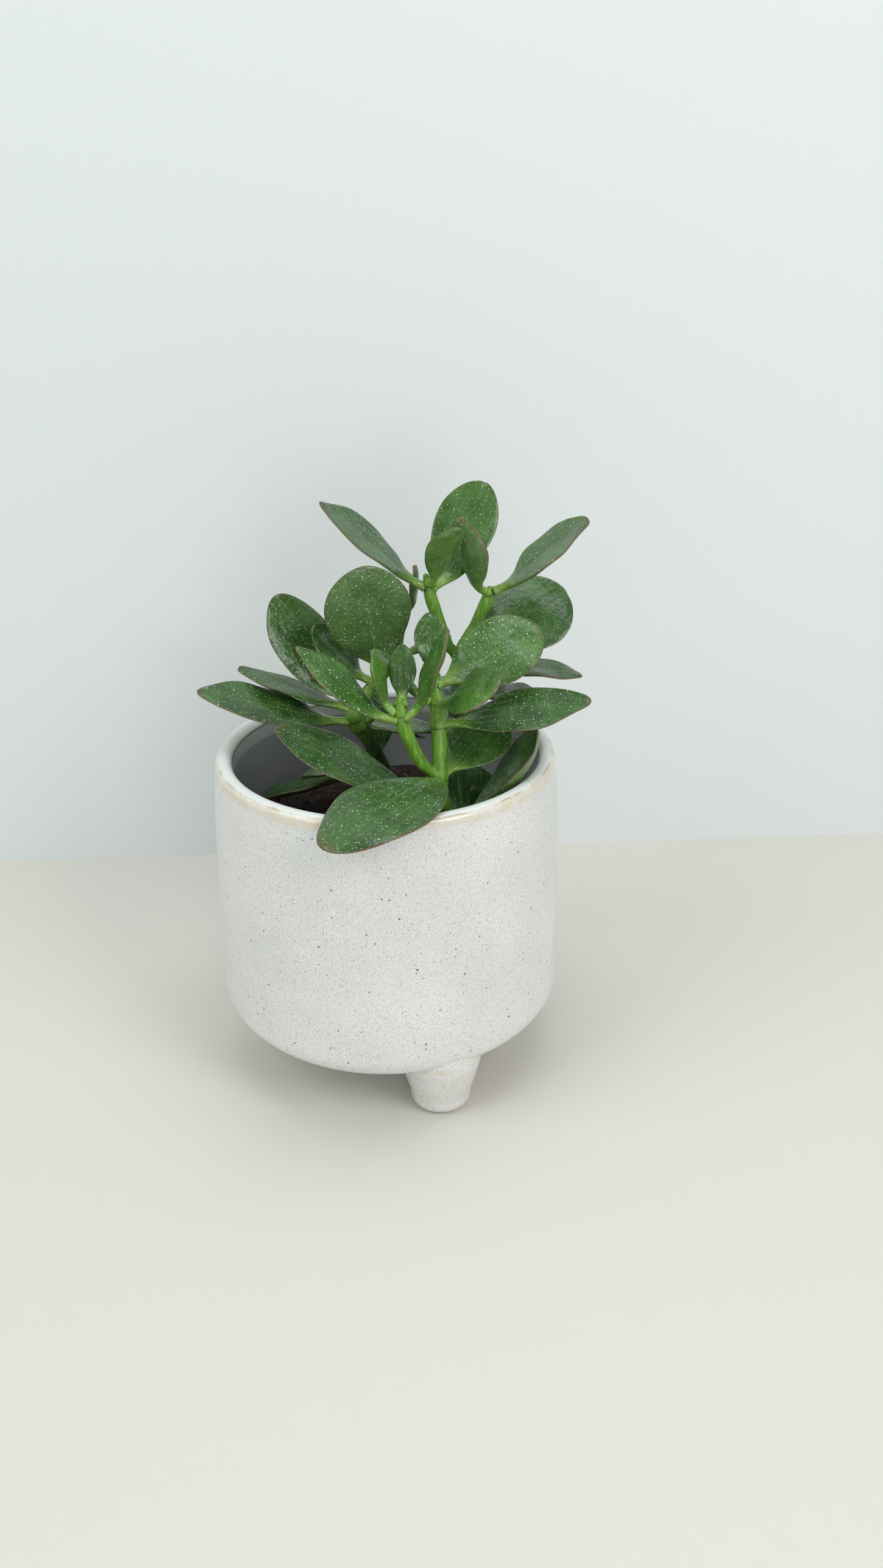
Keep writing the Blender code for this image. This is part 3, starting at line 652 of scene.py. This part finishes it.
def grow_leaf(name, number):
    """A lens carried along the leaf's middle line. Across it u = cos(angle) and the height is
    thickness/2 * sin(angle) + cup * half * (u^2 - CUP_LEVEL), with a midrib groove, soft waves
    at the edge and a stalk that widens into the stem."""
    rings, point = leaf_rings[name]
    rings = rings[:-1]
    spans = np.linalg.norm(rings[:, :, None] - rings[:, None], axis=3).reshape(len(rings), -1)
    first, second = np.divmod(spans.argmax(1), 8)
    k = np.arange(len(rings))
    one, two = rings[k, first], rings[k, second]
    side = unit(one - two)
    for i in range(len(rings) // 2, len(rings)):
        side[i] *= np.sign(side[i] @ side[i - 1])
    for i in range(len(rings) // 2 - 1, -1, -1):
        side[i] *= np.sign(side[i] @ side[i + 1])
    half = np.linalg.norm(one - two, axis=1) / 2
    edges = (one + two) / 2
    forward = unit(np.gradient(edges, axis=0))
    face = unit(np.cross(forward, side))
    if face[len(face) // 2, 2] < 0:
        side, face = -side, -face
    others = (rings.sum(1) - one - two) / 6
    cup = ((edges - others) * face).sum(1) / CAD_CUP / half
    middle = edges - face * (cup * half * (1 - CUP_LEVEL))[:, None]
    middle = np.vstack([middle, point])
    known = np.append(0, np.cumsum(np.linalg.norm(np.diff(middle, axis=0), axis=1)))
    length = known[-1]
    known /= length
    rounding = 1 - 0.12 * np.cos(np.linspace(0.06, 1.0, 18) * np.pi / 2) ** 1.6
    t = np.concatenate([np.linspace(0, 0.88, 62), rounding])[:-1]
    t = np.unique(np.clip(t, 0, 0.9995))
    line = flow(known, middle, t)
    widths = np.sqrt(np.maximum(flow(known, np.append(half ** 2, 0), t)[:, 0], 1e-9))
    sides = unit(flow(known[:-1], side, np.minimum(t, known[-2])))
    cups = flow(known[:-1], cup, np.minimum(t, known[-2]))[:, 0]
    faces = unit(np.cross(unit(np.gradient(line, axis=0)), sides))
    chance = np.random.default_rng(100 + number)
    thick = STALK_THICK - (STALK_THICK - BLADE_THICK) * np.clip(t / STALK_END, 0, 1)
    thick = thick - (BLADE_THICK - TIP_THICK) * np.clip((t - TIP_START) / (1 - TIP_START), 0, 1)
    thick = thick * np.clip((1 - t) / 0.03, 0, 1) ** 0.5
    angle = np.linspace(0, 2 * np.pi, LEAF_AROUND, endpoint=False)
    u, s = np.cos(angle), np.sin(angle)
    lens = np.sign(s) * np.abs(s) ** 1.15
    tt, uu = t[:, None], u[None]
    blade = np.clip((tt - 0.15) / 0.25, 0, 1)
    groove = -MIDRIB_DEPTH * np.exp(-(uu / MIDRIB_WIDTH) ** 2) * (s > 0) * blade
    groove = groove * np.clip((0.9 - tt) / 0.3, 0, 1)
    phase = chance.uniform(0, 2 * np.pi, 4)
    wave = 0.00045 * uu ** 2 * np.sign(uu) * np.sin(2 * np.pi * 1.3 * tt + phase[0])
    wave = wave + 0.00035 * uu ** 2 * np.sin(2 * np.pi * 2.1 * tt + phase[1])
    wave = wave + 0.00022 * np.sin(2 * np.pi * 3.0 * tt + phase[2]) * np.sin(2.5 * uu + phase[3])
    raised = (cups * widths)[:, None] * (uu ** 2 - CUP_LEVEL) * np.clip(tt / STALK_END, 0, 1)
    lift = 0.5 * thick[:, None] * lens + raised + blade * wave + groove
    rows = line[:, None] + sides[:, None] * (widths[:, None] * uu)[..., None]
    rows = rows + faces[:, None] * lift[..., None]
    # The stalk's foot runs 2.2 mm back into the stem and widens
    back = unit(line[0] - line[1])
    foot = [line[0] + back * reach + (rows[0] - line[0]) * wider
            for reach, wider in ((0.0022, 1.22), (0.0012, 1.10))]
    rows = np.concatenate([foot, rows])
    leaf = closed_surface(name.replace("leaf_", "grown_leaf_"), rows, end=point)
    t_all = np.concatenate([[0, 0], t])
    ends = [0, 1]
    keep_attribute(leaf, "along", np.append(np.repeat(t_all, LEAF_AROUND), ends))
    keep_attribute(leaf, "across", np.append(np.tile(np.abs(u), len(t_all)), [0, 1]))
    distance = np.repeat(t_all * length, LEAF_AROUND)
    keep_attribute(leaf, "lengthwise", np.append(distance, [0, length]))
    spread = np.concatenate([widths[:1], widths[:1], widths])[:, None] * u
    keep_attribute(leaf, "sideways", np.append(spread.ravel() + 0.2 * number, [0.2 * number] * 2))
    keep_attribute(leaf, "upper", np.append(np.tile(0.5 + 0.5 * s, len(t_all)), [0.5, 0.5]))
    for word, value in zip(("bright", "pores", "red"), LOOKS.get(name, (0.2, 0.6, 0.5))):
        keep_attribute(leaf, word, np.full(len(leaf.data.vertices), value))
    leaf.data.materials.append(leaf_skin)
    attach(leaf, "root")
    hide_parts(name)


for number, name in enumerate(sorted(leaf_names)):
    grow_leaf(name, number)


# ---------------------------------------------------------------- floor, wall, light, camera
# A pale tabletop with a pale wall close behind it, under four soft lights and open daylight.

def stage_sheet(name, corners, colour, rough):
    """One flat painted sheet of the stage."""
    mesh = bpy.data.meshes.new(name)
    mesh.from_pydata(corners, [], [(0, 1, 2, 3)])
    sheet = bpy.data.objects.new(name, mesh)
    bpy.context.scene.collection.objects.link(sheet)
    finish, tree, shader = new_material(name + "_paint")
    shader.inputs["Base Color"].default_value = linear(colour)
    shader.inputs["Roughness"].default_value = rough
    sheet.data.materials.append(finish)


WALL_BEHIND = 0.170
far = axis.y + WALL_BEHIND
stage_sheet("tabletop", [(-4, -3, 0), (4, -3, 0), (4, 3, 0), (-4, 3, 0)], "#d1cec6", 0.6)
stage_sheet("wall", [(-4, far, 0), (4, far, 0), (4, far, 4), (-4, far, 4)], "#d7dcdc", 0.9)
# The wall stands close behind, and seen from its own back it lets the view through
tree = bpy.data.materials["wall_paint"].node_tree
clear = node(tree, "ShaderNodeBsdfTransparent")
behind = node(tree, "ShaderNodeNewGeometry").outputs["Backfacing"]
paint = tree.nodes["Principled BSDF"]
either = node(tree, "ShaderNodeMixShader",
              [(0, behind), (1, paint.outputs[0]), (2, clear.outputs[0])])
tree.links.new(either.outputs[0], tree.nodes["Material Output"].inputs["Surface"])

daylight = bpy.data.worlds.new("daylight")
daylight.use_nodes = True
sky = daylight.node_tree.nodes["Background"]
sky.inputs["Color"].default_value = linear("#e2e8ea")
sky.inputs["Strength"].default_value = 0.68
bpy.context.scene.world = daylight


def soft_light(name, where, towards, size, power, colour):
    """A round soft light, size across, turned towards a point."""
    lamp = bpy.data.lights.new(name, "AREA")
    lamp.shape, lamp.size, lamp.energy = "DISK", size, power
    lamp.color = linear(colour)[:3]
    holder = bpy.data.objects.new(name, lamp)
    bpy.context.scene.collection.objects.link(holder)
    holder.location = where
    holder.rotation_euler = (Vector(towards) - Vector(where)).to_track_quat("-Z", "Y").to_euler()


soft_light("window", (0.75, -0.75, 0.95), (0, 0, 0.10), 0.6, 6.0, "#fffdfa")
soft_light("second_window", (-0.9, -0.45, 1.0), (0, 0, 0.12), 0.9, 5.7, "#f6fbf6")
soft_light("overhead", (0.1, 0.1, 1.1), (0, 0, 0.1), 0.7, 3.7, "#f7faff")
soft_light("room", (0.25, -1.3, 0.30), (0, 0, 0.15), 0.5, 3.2, "#ffffff")

# The camera stands in front and above, turned 3 degrees to the right and looking 25 down
camera_back, camera_height = 0.4404, 0.3318
camera = bpy.data.objects.new("camera", bpy.data.cameras.new("camera"))
bpy.context.scene.collection.objects.link(camera)
camera.data.sensor_width = 36
camera.data.lens = 26.55
camera.data.clip_start = 0.01
yaw, pitch, roll = math.radians(3.0), math.radians(25.37), math.radians(-0.37)
ahead = Vector((math.sin(yaw) * math.cos(pitch), math.cos(yaw) * math.cos(pitch), -math.sin(pitch)))
level_right = Vector((math.cos(yaw), -math.sin(yaw), 0))
level_up = level_right.cross(ahead)
right = level_right * math.cos(roll) + level_up * math.sin(roll)
up = level_up * math.cos(roll) - level_right * math.sin(roll)
camera_place = Matrix.Translation((axis.x, axis.y - camera_back, camera_height))
camera.matrix_world = camera_place @ Matrix((right, up, -ahead)).transposed().to_4x4()
bpy.context.scene.camera = camera
bpy.context.scene.view_settings.view_transform = "Standard"

bpy.context.view_layer.update()
